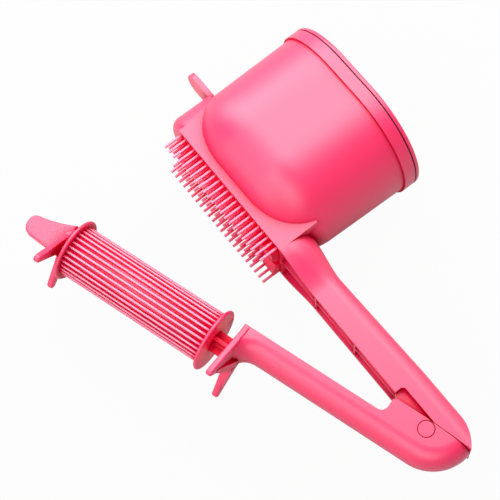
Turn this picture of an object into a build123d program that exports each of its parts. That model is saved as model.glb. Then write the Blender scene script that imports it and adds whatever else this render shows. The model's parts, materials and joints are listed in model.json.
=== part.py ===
from build123d import *
import os
from math import atan2, cos, degrees, radians, sin, sqrt, tan

# A hair colouring roller brush. A dye bowl stands on a brush head, and a hinged arm presses a ribbed
# roller into the brush. Millimetres. X runs along the tank arm from nose to hinge, Y out through the
# lid, Z across the width. The origin is the centre of the lid's flat top, and the brush lies on its
# side. Heights are measured along Y from the hinge pin's axis, which the bristle roots line up with.

# Layout of the two arms
PIN_TO_BOWL = 167.7
OPEN_ANGLE = 17.7
STOP_GAP = 0.4
ARM_HALF = 11.5
ARM_WALL = 2.2

# Bristle plate, bowl and lid, stacked up from the hinge line
PLATE_RECESS = 0.6
PLATE_THICKNESS = 2.0
PLATE_GAP = 1.2
PLATE_FIT = 0.1
BOWL_HEIGHT = 84.2
BOWL_RADIUS = 41.0
BOWL_STRAIGHT = 24.0
BOWL_ROUND = 28.0
BOWL_WALL = 2.0
BOWL_DRAFT = 1.2
BOWL_SEAT_GAP = 0.02
RIM_BAND = 7.0
RIM_PROUD = 1.2
LID_SEAL = 0.8
LID_SEAL_SETBACK = 0.3
LID_THICKNESS = 2.4
LID_EDGE_ROUND = 1.2
LID_PLUG = 6.0
LID_PLUG_WALL = 1.8
LID_FIT = 0.15

# Dosing floor, gate and gate cover inside the bowl
FLOOR_HEIGHT = 25.3
FLOOR_THICKNESS = 2.0
LEDGE_WIDTH = 4.0
GATE_THICKNESS = 3.2
GATE_GAP = 0.2
COVER_THICKNESS = 2.0
GATE_LENGTH = 58.0
GATE_WIDTH = 30.0
TAB_WIDTH = 15.5
TAB_REACH = 20.5
TAB_ROUND = 7.0
GATE_TRAVEL = 5.0
OUTLET_COUNT = 4
OUTLET_PITCH = 11.0
OUTLET_WIDTH = 4.4
OUTLET_LENGTH = 18.0
GATE_SEAL_WALL = 1.2

# Brush head, nose and neck of the tank arm
HEAD_HALF = 19.8
HEAD_WALL = 1.6
HEAD_START = 120.5
HEAD_END = 209.9
SHOULDER_HEIGHT = 25.6
NOSE_DEPTH = 13.2
NOSE_HEIGHT = 27.3
NOSE_STEP = 0.5
NOSE_CORNER = 7.0
NOSE_EDGE = 6.0
NOSE_OVERLAP = 20.0
END_WALL = 1.4
NECK_START = 91.0
NECK_CROWN = 21.5
NECK_ROUND = 17.0
WAIST_CROWN = 18.0
HANDLE_CROWN = 19.8
HANDLE_ROUND = 8.5
RIB_THICKNESS = 1.4
RIB_SETBACK = 0.5
CROSS_RIBS = (91.4, 58.6)

# Bristles
ROW_COUNT = 23
ROW_PITCH = 3.84
ROW_FIRST = 123.3
OUTER_ROW_Z = 17.2
INNER_ROWS = 6
INNER_ROW_PITCH = 4.95
INNER_COLUMNS = 20
BRISTLE_WIDTH = 1.4
BRISTLE_TIP = 0.9
OUTER_BRISTLE = 12.0
ROLLER_CLEARANCE = 0.9
STRIP_DEPTH = 0.8
STRIP_WIDTH = 1.7
DRIP_LENGTH = 2.6
DRIP_WIDTH = 1.2
PAD_LENGTH = 9.8
PAD_DROP = 4.7
PAD_HALF = 15.6
PAD_SPLIT = 2.7
PAD_CLEARANCE = 1.5

# Hinge
PIN_RADIUS = 2.5
PIN_FIT = 0.06
PIN_HEAD_RADIUS = 4.4
PIN_HEAD_DEPTH = 1.4
PIN_HEAD_GAP = 0.3
PIN_EDGE = 0.3
CHEEK_THICKNESS = 2.7
CHEEK_GAP = 0.3
TONGUE_RADIUS = 9.0
LOBE_TOP = 5.0
LOBE_START = 22.5
LOBE_CORNER = 2.2
LOBE_FOOT_ROUND = 4.0
LOBE_KNEE = 4.0
LOBE_FALL = 1.6
RECESS_START = 24.6
BUTT_TIP = 24.5
BUTT_HEEL = 0.0
ARM_BULGE = (14.0, 16.8)
SPRING_COIL_RADIUS = 5.5
SPRING_WIRE = 1.2
SPRING_LENGTH = 6.0
SPRING_SIDE_GAP = 0.35

# Roller arm
ROLLER_ARM_TOP = -4.9
ROLLER_ARM_BOTTOM = -18.0
ROLLER_ARM_ROUND = 10.0
CHANNEL_END = 12.5
FLARE_LENGTH = 14.0
FLARE_HALF = 16.0
FLARE_BOTTOM = -23.5
FLARE_ROUND = 8.5
YOKE_THICKNESS = 3.6
INNER_YOKE = 105.2
FOOT_Z = 20.9
FOOT_Y = -38.4
FOOT_RADIUS = 2.2
FOOT_EDGE = 1.1
HUB_RADIUS = 7.6
HUB_TOP = -9.8
CROTCH_Y = -24.6
END_HUB_RADIUS = 6.2
END_CROTCH_Y = -21.6
CROTCH_ROUND = 2.0
LEG_WEB = 3.0
LEG_WEB_WIDTH = 3.4
LEG_WEB_REACH = 20.0
SHOULDER_RADIUS = 0.8
PADDLE_THICKNESS = 5.0
PADDLE_LENGTH = 23.3
PADDLE_ROOT_TOP = -7.6
PADDLE_SAG = 1.2
PADDLE_TIP_TOP = -15.1
PADDLE_TIP_BOTTOM = -26.0
PADDLE_ROOT_BOTTOM = -27.6
PADDLE_TOP_ROUND = 4.2
PADDLE_BOTTOM_ROUND = 6.0
PADDLE_EDGE = 1.0

# Roller
ROLLER_DROP = 19.2
ROLLER_START = 119.2
ROLLER_LENGTH = 94.2
END_YOKE_GAP = 4.1
FLANGE_RADIUS = 18.2
FLANGE_THICKNESS = 1.8
FLANGE_SPIGOT = 4.0
FLANGE_EDGE = 0.5
DRUM_RADIUS = 15.0
DRUM_WALL = 1.6
DRUM_RIBS = 30
RIB_WIDTH = 1.3
RIB_DEPTH = 1.6
AXLE_RADIUS = 6.2
AXLE_FIN = 2.0
AXLE_FIT = 0.08
SPIGOT_RADIUS = 3.0
SPIGOT_FIT = 0.05
SLIT_WIDTH = 1.4
SLIT_DEPTH = 5.0
SLIT_ANGLE = 77

# Plate screw
SCREW_RADIUS = 1.25
SCREW_HEAD_RADIUS = 2.0
SCREW_HEAD_HEIGHT = 1.4
SCREW_LENGTH = 6.0
SCREW_AT = 127.6
SCREW_SOCKET = 0.9
BOSS_RADIUS = 2.8

# Derived heights
BOWL_BASE = PLATE_RECESS + PLATE_THICKNESS + PLATE_GAP
RIM_TOP = BOWL_BASE + BOWL_HEIGHT
LID_BASE = RIM_TOP + LID_SEAL
LID_TOP = LID_BASE + LID_THICKNESS
GATE_BASE = FLOOR_HEIGHT + FLOOR_THICKNESS + GATE_GAP
COVER_BASE = GATE_BASE + GATE_THICKNESS + GATE_GAP
PIN_X = PIN_TO_BOWL
PIN_Y = -LID_TOP
OPEN = radians(OPEN_ANGLE)


def level(height, distance=PIN_TO_BOWL):
    """A plane across Y at a height over the pin, its origin a distance away from the pin."""
    return Plane(origin=(PIN_X - distance, PIN_Y + height, 0), x_dir=(1, 0, 0), z_dir=(0, 1, 0))


def across(distance):
    """A plane across the tank arm at a distance from the pin, its own y up towards the lid."""
    return Plane(origin=(PIN_X - distance, PIN_Y, 0), x_dir=(0, 0, -1), z_dir=(1, 0, 0))


side = Plane(origin=(PIN_X, PIN_Y, 0), x_dir=(1, 0, 0), z_dir=(0, 0, 1))
roller_side = Plane(origin=(PIN_X, PIN_Y, 0), x_dir=(cos(OPEN), sin(OPEN), 0), z_dir=(0, 0, 1))


def roller_across(distance, drop=0.0):
    """A plane across the roller arm at a distance from the pin, its own y up towards the tank."""
    spot = roller_side.from_local_coords(Vector(-distance, -drop, 0))
    return Plane(origin=spot, x_dir=(0, 0, -1), z_dir=roller_side.x_dir)


def turned(x, y, angle):
    """A point of a side plane turned about the hinge pin."""
    return x * cos(angle) - y * sin(angle), x * sin(angle) + y * cos(angle)


def bowl_solid(radius, base, roundness, top):
    """The bowl's outer or inner form: a drafted slot with a large round at its foot."""
    with BuildPart() as form:
        with BuildSketch(level(top)):
            SlotCenterToCenter(BOWL_STRAIGHT, 2 * radius)
        extrude(amount=-(top - base), taper=BOWL_DRAFT)
        fillet(form.edges().group_by(Axis.Y)[0], roundness)
    return form.part


def d_section(half, crown, roundness):
    """A channel's outline: flat foot on the hinge line, straight sides, rounded back corners."""
    Rectangle(2 * half, crown, align=(Align.CENTER, Align.MIN))
    fillet(vertices().group_by(Axis.Y)[-1], roundness)


def inside_radius(height):
    """The bowl's inside radius at a height, by its draft and the round at its foot."""
    drafted = BOWL_RADIUS - BOWL_WALL - (RIM_TOP - height) * tan(radians(BOWL_DRAFT))
    foot_round = BOWL_ROUND - BOWL_WALL
    below = max(BOWL_BASE + BOWL_WALL + foot_round - height, 0)
    return drafted - foot_round + sqrt(foot_round ** 2 - below ** 2)


# Bowl: a deep stadium cup with a large round at its foot and a rim band
bowl_form = bowl_solid(BOWL_RADIUS, BOWL_BASE, BOWL_ROUND, RIM_TOP)
bowl_space = bowl_solid(BOWL_RADIUS - BOWL_WALL, BOWL_BASE + BOWL_WALL, BOWL_ROUND - BOWL_WALL, RIM_TOP)
bowl_seat = bowl_solid(BOWL_RADIUS + BOWL_SEAT_GAP, BOWL_BASE - BOWL_SEAT_GAP, BOWL_ROUND, RIM_TOP)
GATE_SLOT_HALF = TAB_WIDTH / 2 + GATE_SEAL_WALL
GATE_MIDDLE = GATE_BASE + GATE_THICKNESS / 2
LEDGE_RADIUS = inside_radius(FLOOR_HEIGHT - BOWL_WALL) + BOWL_WALL / 2

with BuildPart() as tank_bowl:
    add(bowl_form)
    with BuildSketch(level(RIM_TOP - RIM_BAND)):
        SlotCenterToCenter(BOWL_STRAIGHT, 2 * (BOWL_RADIUS + RIM_PROUD))
    extrude(amount=RIM_BAND)
    add(bowl_space, mode=Mode.SUBTRACT)
    # Ledge under the dosing floor, open in the middle
    with BuildSketch(level(FLOOR_HEIGHT - BOWL_WALL)):
        SlotCenterToCenter(BOWL_STRAIGHT, 2 * LEDGE_RADIUS)
        SlotCenterToCenter(BOWL_STRAIGHT, 2 * (LEDGE_RADIUS - LEDGE_WIDTH), mode=Mode.SUBTRACT)
    extrude(amount=BOWL_WALL)
    # Outlets in the foot, over the bristle plate
    with BuildSketch(level(BOWL_BASE)):
        with GridLocations(OUTLET_PITCH, 0, OUTLET_COUNT, 1):
            SlotOverall(OUTLET_LENGTH, OUTLET_WIDTH, rotation=90)
    extrude(amount=2 * BOWL_WALL, mode=Mode.SUBTRACT)
    # Slot in the nose side for the gate's tab and its seal
    with BuildSketch(level(GATE_BASE - GATE_SEAL_WALL)):
        Rectangle(BOWL_STRAIGHT / 2 + BOWL_RADIUS, 2 * GATE_SLOT_HALF, align=(Align.MAX, Align.CENTER))
    extrude(amount=GATE_THICKNESS + 2 * GATE_SEAL_WALL, mode=Mode.SUBTRACT)
tank_bowl.part.label = "tank_bowl"


def slotted_plate(height, thickness):
    """A drop-in plate with the outlet slots, shaped to the bowl's inside."""
    with BuildPart() as plate:
        with BuildSketch(level(height)):
            SlotCenterToCenter(BOWL_STRAIGHT, 2 * inside_radius(height) - 2 * LID_FIT)
            with GridLocations(OUTLET_PITCH, 0, OUTLET_COUNT, 1):
                SlotOverall(OUTLET_LENGTH, OUTLET_WIDTH, rotation=90, mode=Mode.SUBTRACT)
        extrude(amount=thickness)
    return plate.part


with BuildPart() as dosing_floor:
    add(slotted_plate(FLOOR_HEIGHT, FLOOR_THICKNESS))
dosing_floor.part.label = "dosing_floor"

with BuildPart() as gate_cover:
    add(slotted_plate(COVER_BASE, COVER_THICKNESS))
    # Side rails stand the cover on the dosing floor and guide the gate
    with BuildSketch(level(FLOOR_HEIGHT + FLOOR_THICKNESS)):
        with GridLocations(0, GATE_WIDTH + 2 * GATE_GAP + BOWL_WALL, 1, 2):
            Rectangle(GATE_LENGTH, BOWL_WALL)
    extrude(amount=GATE_THICKNESS + 2 * GATE_GAP)
gate_cover.part.label = "gate_cover"

# Slide gate: closed at rest, its lands lie over the outlets, and a pull on the tab lines its slots up
TAB_END = BOWL_STRAIGHT / 2 + BOWL_RADIUS + TAB_REACH

with BuildPart() as slide_gate:
    with BuildSketch(level(GATE_BASE)):
        Rectangle(GATE_LENGTH, GATE_WIDTH)
        with Locations((-TAB_END, 0)):
            Rectangle(TAB_END, TAB_WIDTH, align=(Align.MIN, Align.CENTER))
        fillet(vertices().group_by(Axis.X)[0], TAB_ROUND)
        with Locations((GATE_TRAVEL, 0)):
            with GridLocations(OUTLET_PITCH, 0, OUTLET_COUNT, 1):
                SlotOverall(OUTLET_LENGTH, OUTLET_WIDTH, rotation=90, mode=Mode.SUBTRACT)
    extrude(amount=GATE_THICKNESS)
slide_gate.part.label = "slide_gate"

# Gate seal: a soft frame in the bowl's slot, flush with the wall outside and inside
with BuildPart() as gate_seal:
    with BuildSketch(across(PIN_TO_BOWL + BOWL_STRAIGHT / 2)):
        with Locations((0, GATE_MIDDLE)):
            Rectangle(2 * GATE_SLOT_HALF, GATE_THICKNESS + 2 * GATE_SEAL_WALL)
            Rectangle(TAB_WIDTH + 2 * GATE_GAP, GATE_THICKNESS + 2 * GATE_GAP, mode=Mode.SUBTRACT)
    extrude(amount=-BOWL_RADIUS)
    add(bowl_form, mode=Mode.INTERSECT)
    add(bowl_space, mode=Mode.SUBTRACT)
gate_seal.part.label = "gate_seal"

# Lid and its seal
with BuildPart() as lid_seal:
    with BuildSketch(level(RIM_TOP)):
        SlotCenterToCenter(BOWL_STRAIGHT, 2 * (BOWL_RADIUS + RIM_PROUD - LID_SEAL_SETBACK))
        SlotCenterToCenter(BOWL_STRAIGHT, 2 * (BOWL_RADIUS - BOWL_WALL), mode=Mode.SUBTRACT)
    extrude(amount=LID_SEAL)
lid_seal.part.label = "lid_seal"

PLUG_RADIUS = inside_radius(RIM_TOP - LID_PLUG) - LID_FIT

with BuildPart() as lid:
    with BuildSketch(level(LID_BASE)):
        SlotCenterToCenter(BOWL_STRAIGHT, 2 * (BOWL_RADIUS + RIM_PROUD))
    extrude(amount=LID_THICKNESS)
    fillet(lid.edges().group_by(Axis.Y)[-1], LID_EDGE_ROUND)
    with BuildSketch(level(LID_BASE)):
        SlotCenterToCenter(BOWL_STRAIGHT, 2 * PLUG_RADIUS)
        SlotCenterToCenter(BOWL_STRAIGHT, 2 * (PLUG_RADIUS - LID_PLUG_WALL), mode=Mode.SUBTRACT)
    extrude(amount=-LID_PLUG)
lid.part.label = "lid"


# Tank arm
def neck_station(share):
    """Half width, crown and back round of the neck, from the handle (0) to the head (1)."""
    ease = share * share * (3 - 2 * share)
    half = ARM_HALF + (HEAD_HALF - ARM_HALF) * ease
    crown = WAIST_CROWN + (NECK_CROWN - WAIST_CROWN) * ease
    roundness = HANDLE_ROUND + (NECK_ROUND - HANDLE_ROUND) * ease
    return half, crown, roundness


NECK_STATIONS = 6


def neck_solid(wall):
    """The neck's outer form, or with a wall its inside."""
    with BuildPart() as form:
        for index in range(NECK_STATIONS):
            share = index / (NECK_STATIONS - 1)
            half, crown, roundness = neck_station(share)
            with BuildSketch(across(NECK_START + share * (HEAD_START - NECK_START))):
                d_section(half - wall, crown - wall, roundness - wall)
        loft()
    return form.part


def handle_solid(wall):
    """The handle's outer form, lower towards its waist at the neck, or with a wall its inside."""
    with BuildPart() as form:
        for distance, crown in ((NECK_START, WAIST_CROWN), (RECESS_START, HANDLE_CROWN)):
            with BuildSketch(across(distance)):
                d_section(ARM_HALF - wall, crown - wall, HANDLE_ROUND - wall)
        loft()
    return form.part


def nose_plan(inset):
    """The nose seen along Y, reaching back under the bowl, shrunk by an inset."""
    half = HEAD_HALF - NOSE_STEP - inset
    root = NOSE_OVERLAP - HEAD_END
    with BuildSketch() as plan:
        with BuildLine():
            Polyline((-HEAD_END, half), (root, half), (root, -half), (-HEAD_END, -half))
            ThreePointArc((-HEAD_END, -half), (inset - HEAD_END - NOSE_DEPTH, 0), (-HEAD_END, half))
        make_face()
        fillet(plan.vertices().group_by(Axis.X)[0], NOSE_CORNER)
    return plan.sketch


# Stops: the roller arm's lobe meets the recess edge when closed, and its rear slope when open
EDGE = LOBE_TOP + STOP_GAP
STOP_FRONT = turned(-LOBE_KNEE, EDGE, OPEN)
STOP_REAR = turned(BUTT_TIP, EDGE - LOBE_FALL, OPEN)
STOP_SLOPE = (STOP_REAR[1] - STOP_FRONT[1]) / (STOP_REAR[0] - STOP_FRONT[0])
STOP_CORNER = STOP_FRONT[0] + (EDGE - STOP_FRONT[1]) / STOP_SLOPE
STOP_TIP = STOP_REAR[1]
ARM_TIP = STOP_REAR[0]


def arm_butt_profile():
    """Side view of the shell over the hinge: recess edge under it, stop slope behind the pin."""
    with BuildSketch() as profile:
        with BuildLine():
            Polyline((-RECESS_START, 0), (-RECESS_START, HANDLE_CROWN), (0, HANDLE_CROWN))
            ThreePointArc((0, HANDLE_CROWN), ARM_BULGE, (ARM_TIP, STOP_TIP))
            Polyline((ARM_TIP, STOP_TIP), (STOP_CORNER, EDGE), (LOBE_CORNER - RECESS_START, EDGE))
            TangentArc((LOBE_CORNER - RECESS_START, EDGE), (-RECESS_START, EDGE - LOBE_CORNER),
                       tangent=(-1, 0))
            Line((-RECESS_START, EDGE - LOBE_CORNER), (-RECESS_START, 0))
        make_face()
    return profile.sketch


with BuildPart() as channel_form:
    add(handle_solid(0))
    add(neck_solid(0))

with BuildPart() as butt_shell:
    with BuildSketch(across(RECESS_START)):
        d_section(ARM_HALF, HANDLE_CROWN, HANDLE_ROUND)
    extrude(amount=RECESS_START + ARM_TIP)
    with BuildSketch(side):
        add(arm_butt_profile())
    extrude(amount=ARM_HALF, both=True, mode=Mode.INTERSECT)

# Ribs of the channel: one along its centre, two across, all set back from the open edge
with BuildPart() as channel_ribs:
    with BuildSketch(side):
        with Locations((-HEAD_START, RIB_SETBACK)):
            Rectangle(HEAD_START - RECESS_START, NECK_CROWN, align=(Align.MIN, Align.MIN))
    extrude(amount=RIB_THICKNESS / 2, both=True)
    with BuildSketch(side):
        for distance in CROSS_RIBS:
            with Locations((-distance, RIB_SETBACK)):
                Rectangle(RIB_THICKNESS, NECK_CROWN, align=(Align.CENTER, Align.MIN))
    extrude(amount=ARM_HALF - ARM_WALL / 2, both=True)
    add(channel_form.part, mode=Mode.INTERSECT)

HEAD_MIDDLE = (HEAD_START + HEAD_END) / 2
with BuildPart() as nose_form:
    with BuildSketch(level(NOSE_STEP, 0)):
        add(nose_plan(0))
    extrude(amount=NOSE_HEIGHT - NOSE_STEP)
    fillet(nose_form.edges().group_by(Axis.Y)[0].sort_by(Axis.X)[:-1], NOSE_EDGE)

TONGUE_HALF = ARM_HALF - CHEEK_THICKNESS - CHEEK_GAP
SPRING_POCKET_HALF = SPRING_LENGTH / 2 + SPRING_SIDE_GAP

with BuildPart() as tank_arm:
    add(channel_form.part)
    with BuildSketch(level(0, HEAD_MIDDLE)):
        Rectangle(HEAD_END - HEAD_START, 2 * HEAD_HALF)
    extrude(amount=SHOULDER_HEIGHT)
    add(nose_form.part)
    # Channel, neck and head are hollow from the open foot, with the end wall left between them
    add(handle_solid(ARM_WALL), mode=Mode.SUBTRACT)
    add(neck_solid(ARM_WALL), mode=Mode.SUBTRACT)
    with BuildSketch(level(0, HEAD_MIDDLE)):
        Rectangle(HEAD_END - HEAD_START - 2 * END_WALL, 2 * HEAD_HALF - 2 * HEAD_WALL)
    extrude(amount=SHOULDER_HEIGHT - HEAD_WALL, mode=Mode.SUBTRACT)
    # Boss for the plate's screw, joined to the end wall
    with BuildSketch(level(PLATE_RECESS + PLATE_THICKNESS, SCREW_AT)):
        Circle(BOSS_RADIUS)
        Rectangle(SCREW_AT - HEAD_START, RIB_THICKNESS, align=(Align.MIN, Align.CENTER))
    extrude(amount=SHOULDER_HEIGHT - PLATE_RECESS - PLATE_THICKNESS - HEAD_WALL / 2)
    add(channel_ribs.part)
    add(bowl_seat, mode=Mode.SUBTRACT)
    add(butt_shell.part)
    # Hinge tongue between the roller arm's cheeks
    with BuildSketch(side):
        Circle(TONGUE_RADIUS)
        with BuildLine():
            Polyline((-RECESS_START, 0), (0, -TONGUE_RADIUS), (TONGUE_RADIUS, 0),
                     (TONGUE_RADIUS, TONGUE_RADIUS), (-RECESS_START, TONGUE_RADIUS), close=True)
        make_face()
    extrude(amount=TONGUE_HALF, both=True)
    # Pocket for the spring, open towards both arms, and the pin's bore
    with BuildSketch(side):
        Circle(SPRING_COIL_RADIUS)
        with Locations((-RECESS_START, -TONGUE_RADIUS)):
            Rectangle(RECESS_START, TONGUE_RADIUS + SPRING_COIL_RADIUS, align=(Align.MIN, Align.MIN))
    extrude(amount=SPRING_POCKET_HALF, both=True, mode=Mode.SUBTRACT)
    with BuildSketch(side):
        Circle(PIN_RADIUS + PIN_FIT)
    extrude(amount=ARM_HALF, both=True, mode=Mode.SUBTRACT)
    with BuildSketch(level(0, SCREW_AT)):
        Circle(SCREW_RADIUS)
    extrude(amount=PLATE_RECESS + SCREW_LENGTH, mode=Mode.SUBTRACT)
tank_arm.part.label = "tank_arm"

# Bristle plate: closes the head, drips dye through rows of slots, grooved for the bristle strips
FIELD_LENGTH = (ROW_COUNT - 1) * ROW_PITCH
FIELD_MIDDLE = ROW_FIRST + FIELD_LENGTH / 2
INNER_LENGTH = (INNER_COLUMNS - 1) * ROW_PITCH
INNER_FIRST = ROW_FIRST + FIELD_LENGTH - INNER_LENGTH
INNER_MIDDLE = INNER_FIRST + INNER_LENGTH / 2
ROOT = PLATE_RECESS

with BuildPart() as bristle_plate:
    with BuildSketch(level(ROOT, HEAD_MIDDLE)):
        Rectangle(HEAD_END - HEAD_START - 2 * (END_WALL + PLATE_FIT), 2 * (HEAD_HALF - HEAD_WALL - PLATE_FIT))
        with Locations((HEAD_MIDDLE - SCREW_AT, 0)):
            Circle(SCREW_RADIUS, mode=Mode.SUBTRACT)
        with Locations((HEAD_MIDDLE - INNER_MIDDLE, 0)):
            with GridLocations(3 * ROW_PITCH, INNER_ROW_PITCH, INNER_COLUMNS // 3, INNER_ROWS - 1):
                Rectangle(DRIP_LENGTH, DRIP_WIDTH, mode=Mode.SUBTRACT)
    extrude(amount=PLATE_THICKNESS)
    with BuildSketch(level(ROOT, FIELD_MIDDLE)):
        with GridLocations(0, 2 * OUTER_ROW_Z, 1, 2):
            Rectangle(FIELD_LENGTH + BRISTLE_WIDTH, STRIP_WIDTH)
    extrude(amount=STRIP_DEPTH, mode=Mode.SUBTRACT)
    with BuildSketch(level(ROOT, INNER_MIDDLE)):
        with GridLocations(0, INNER_ROW_PITCH, 1, INNER_ROWS):
            Rectangle(INNER_LENGTH + BRISTLE_WIDTH, STRIP_WIDTH)
    extrude(amount=STRIP_DEPTH, mode=Mode.SUBTRACT)
bristle_plate.part.label = "bristle_plate"

# Saddle pads: two blocks under the plate's inner end, hollowed to the roller, the screw between them
with BuildPart() as saddle_pads:
    with BuildSketch(across(HEAD_START + END_WALL + PAD_LENGTH)):
        for sign in (1, -1):
            with Locations((sign * (PAD_HALF + PAD_SPLIT) / 2, ROOT)):
                Rectangle(PAD_HALF - PAD_SPLIT, PAD_DROP + ROOT, align=(Align.CENTER, Align.MAX))
        with Locations((0, -ROLLER_DROP)):
            Circle(DRUM_RADIUS + PAD_CLEARANCE, mode=Mode.SUBTRACT)
    extrude(amount=PAD_LENGTH)
saddle_pads.part.label = "saddle_pads"


def bristle_length(z):
    """An inner bristle ends a clearance short of the closed roller's ribs."""
    reach = abs(z) - BRISTLE_TIP / 2
    return ROLLER_DROP - sqrt(DRUM_RADIUS ** 2 - reach ** 2) - ROLLER_CLEARANCE + ROOT


def bristle_strip(z, first, count, length):
    """One moulded strip of tapered square bristles, its slice of backing let into the plate."""
    middle = first + (count - 1) * ROW_PITCH / 2
    with BuildPart() as strip:
        with BuildSketch(level(ROOT, 0)):
            with Locations((-middle, -z)):
                Rectangle((count - 1) * ROW_PITCH + BRISTLE_WIDTH, STRIP_WIDTH)
        extrude(amount=STRIP_DEPTH)
        with BuildSketch(level(ROOT, 0)):
            with Locations((-middle, -z)):
                with GridLocations(ROW_PITCH, 0, count, 1):
                    Rectangle(BRISTLE_WIDTH, BRISTLE_WIDTH)
        extrude(amount=-length, taper=degrees(atan2(BRISTLE_WIDTH - BRISTLE_TIP, 2 * length)))
    return strip.part


with BuildPart() as outer_bristles:
    for z in (OUTER_ROW_Z, -OUTER_ROW_Z):
        add(bristle_strip(z, ROW_FIRST, ROW_COUNT, OUTER_BRISTLE))
outer_bristles.part.label = "outer_bristles"

with BuildPart() as inner_bristles:
    for row in range(INNER_ROWS):
        row_z = (row - (INNER_ROWS - 1) / 2) * INNER_ROW_PITCH
        add(bristle_strip(row_z, INNER_FIRST, INNER_COLUMNS, bristle_length(row_z)))
inner_bristles.part.label = "inner_bristles"

# Plate screw: pan head with a hexagon socket, up into its boss
with BuildPart() as plate_screw:
    with BuildSketch(level(ROOT, SCREW_AT)):
        Circle(SCREW_HEAD_RADIUS)
    extrude(amount=-SCREW_HEAD_HEIGHT)
    fillet(plate_screw.edges().group_by(Axis.Y)[0], SCREW_HEAD_HEIGHT / 3)
    with BuildSketch(level(ROOT, SCREW_AT)):
        Circle(SCREW_RADIUS)
    extrude(amount=SCREW_LENGTH)
    with BuildSketch(level(ROOT - SCREW_HEAD_HEIGHT, SCREW_AT)):
        RegularPolygon(SCREW_SOCKET, 6)
    extrude(amount=SCREW_HEAD_HEIGHT / 2, mode=Mode.SUBTRACT)
plate_screw.part.label = "plate_screw"


# Roller arm
FLARE_START = INNER_YOKE - FLARE_LENGTH


def roller_arm_outline():
    """Side view of the roller arm, from its lobe and butt at the hinge to where it starts to flare."""
    top = ROLLER_ARM_TOP
    bottom = ROLLER_ARM_BOTTOM
    tail = (BUTT_TIP, LOBE_TOP - LOBE_FALL)
    with BuildSketch() as outline:
        with BuildLine():
            Polyline((-FLARE_START, bottom), (-FLARE_START, top), (-LOBE_START, top), (-LOBE_START, LOBE_TOP),
                     (-LOBE_KNEE, LOBE_TOP), tail)
            TangentArc((BUTT_HEEL, bottom), tail, tangent=(1, 0))
            Line((BUTT_HEEL, bottom), (-FLARE_START, bottom))
        make_face()
        corners = outline.vertices().filter_by_position(Axis.X, -LOBE_START - 0.01, -LOBE_START + 0.01)
        fillet(corners.sort_by(Axis.Y)[0], LOBE_FOOT_ROUND)
        corners = outline.vertices().filter_by_position(Axis.X, -LOBE_START - 0.01, -LOBE_START + 0.01)
        fillet(corners.sort_by(Axis.Y)[-1], LOBE_CORNER)
    return outline.sketch


def channel_outline(wall):
    """The roller arm's hollow seen from the side, past its top so that it is open there."""
    bottom = ROLLER_ARM_BOTTOM + wall
    tail = (BUTT_TIP - wall, LOBE_TOP - LOBE_FALL - wall / 2)
    with BuildSketch() as outline:
        with BuildLine():
            Polyline((BUTT_HEEL, bottom), (CHANNEL_END - INNER_YOKE, bottom),
                     (CHANNEL_END - INNER_YOKE, 2 * LOBE_TOP), (BUTT_TIP - wall, 2 * LOBE_TOP), tail)
            TangentArc((BUTT_HEEL, bottom), tail, tangent=(1, 0))
        make_face()
    return outline.sketch


def under_edges(solid):
    """The two long edges of a roller arm form, along its underside and round its butt."""
    under = solid.faces().filter_by(lambda face: face.normal_at().dot(roller_side.y_dir) < -0.3)
    return under.edges().filter_by(lambda edge: abs(edge.tangent_at(0.5).Z) < 0.1)


CHEEK_INNER = ARM_HALF - CHEEK_THICKNESS
CHANNEL_ROUND = ROLLER_ARM_ROUND - CHEEK_THICKNESS

with BuildPart() as roller_channel:
    with BuildSketch(roller_side):
        add(channel_outline(ARM_WALL))
    extrude(amount=CHEEK_INNER, both=True)
    fillet(under_edges(roller_channel), CHANNEL_ROUND)


def flare_station(share):
    """Section of the roller arm near its yoke: upright at 0, spread at its foot at 1."""
    ease = share ** 3
    half = ARM_HALF + (FLARE_HALF - ARM_HALF) * ease
    bottom = ROLLER_ARM_BOTTOM + (FLARE_BOTTOM - ROLLER_ARM_BOTTOM) * ease
    roundness = ROLLER_ARM_ROUND + (FLARE_ROUND - ROLLER_ARM_ROUND) * ease
    with BuildSketch() as section:
        Polygon((ARM_HALF, ROLLER_ARM_TOP), (half, bottom), (-half, bottom), (-ARM_HALF, ROLLER_ARM_TOP),
                align=None)
        fillet(section.vertices().group_by(Axis.Y)[0], roundness)
    return section.sketch


FLARE_STATIONS = 6

with BuildPart() as yoke_flare:
    for index in range(FLARE_STATIONS):
        spread = index / (FLARE_STATIONS - 1)
        with BuildSketch(roller_across(FLARE_START + spread * FLARE_LENGTH)):
            add(flare_station(spread))
    loft()


def yoke_leg(sign, crotch_y, shoulder_z, shoulder_y):
    """One side of a yoke seen along the axle: from its shoulder by the hub to its splayed foot."""
    with BuildSketch() as leg:
        with Locations((0, crotch_y)):
            Circle(CROTCH_ROUND)
        with Locations((sign * FOOT_Z, FOOT_Y)):
            Circle(FOOT_RADIUS)
        with Locations((sign * shoulder_z, shoulder_y)):
            Circle(SHOULDER_RADIUS)
        make_hull()
    return leg.sketch


def yoke_plate(hub_radius, crotch_y, shoulder_z, shoulder_y):
    """A yoke with its hub, shoulders and two splayed feet, its edges rounded on both faces."""
    with BuildSketch(Plane.XY) as outline:
        add(yoke_leg(1, crotch_y, shoulder_z, shoulder_y))
        add(yoke_leg(-1, crotch_y, shoulder_z, shoulder_y))
        with Locations((0, HUB_TOP - hub_radius)):
            Circle(hub_radius)
        crotch = outline.vertices().filter_by_position(Axis.X, -0.1, 0.1).sort_by(Axis.Y)[0]
        fillet(crotch, CROTCH_ROUND)
    with BuildPart() as plate:
        with BuildSketch(Plane.XY):
            add(outline.sketch)
        extrude(amount=YOKE_THICKNESS)
        rims = plate.faces().sort_by(Axis.Z)
        fillet(rims[0].edges() + rims[-1].edges(), FOOT_EDGE)
    return plate.part


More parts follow.
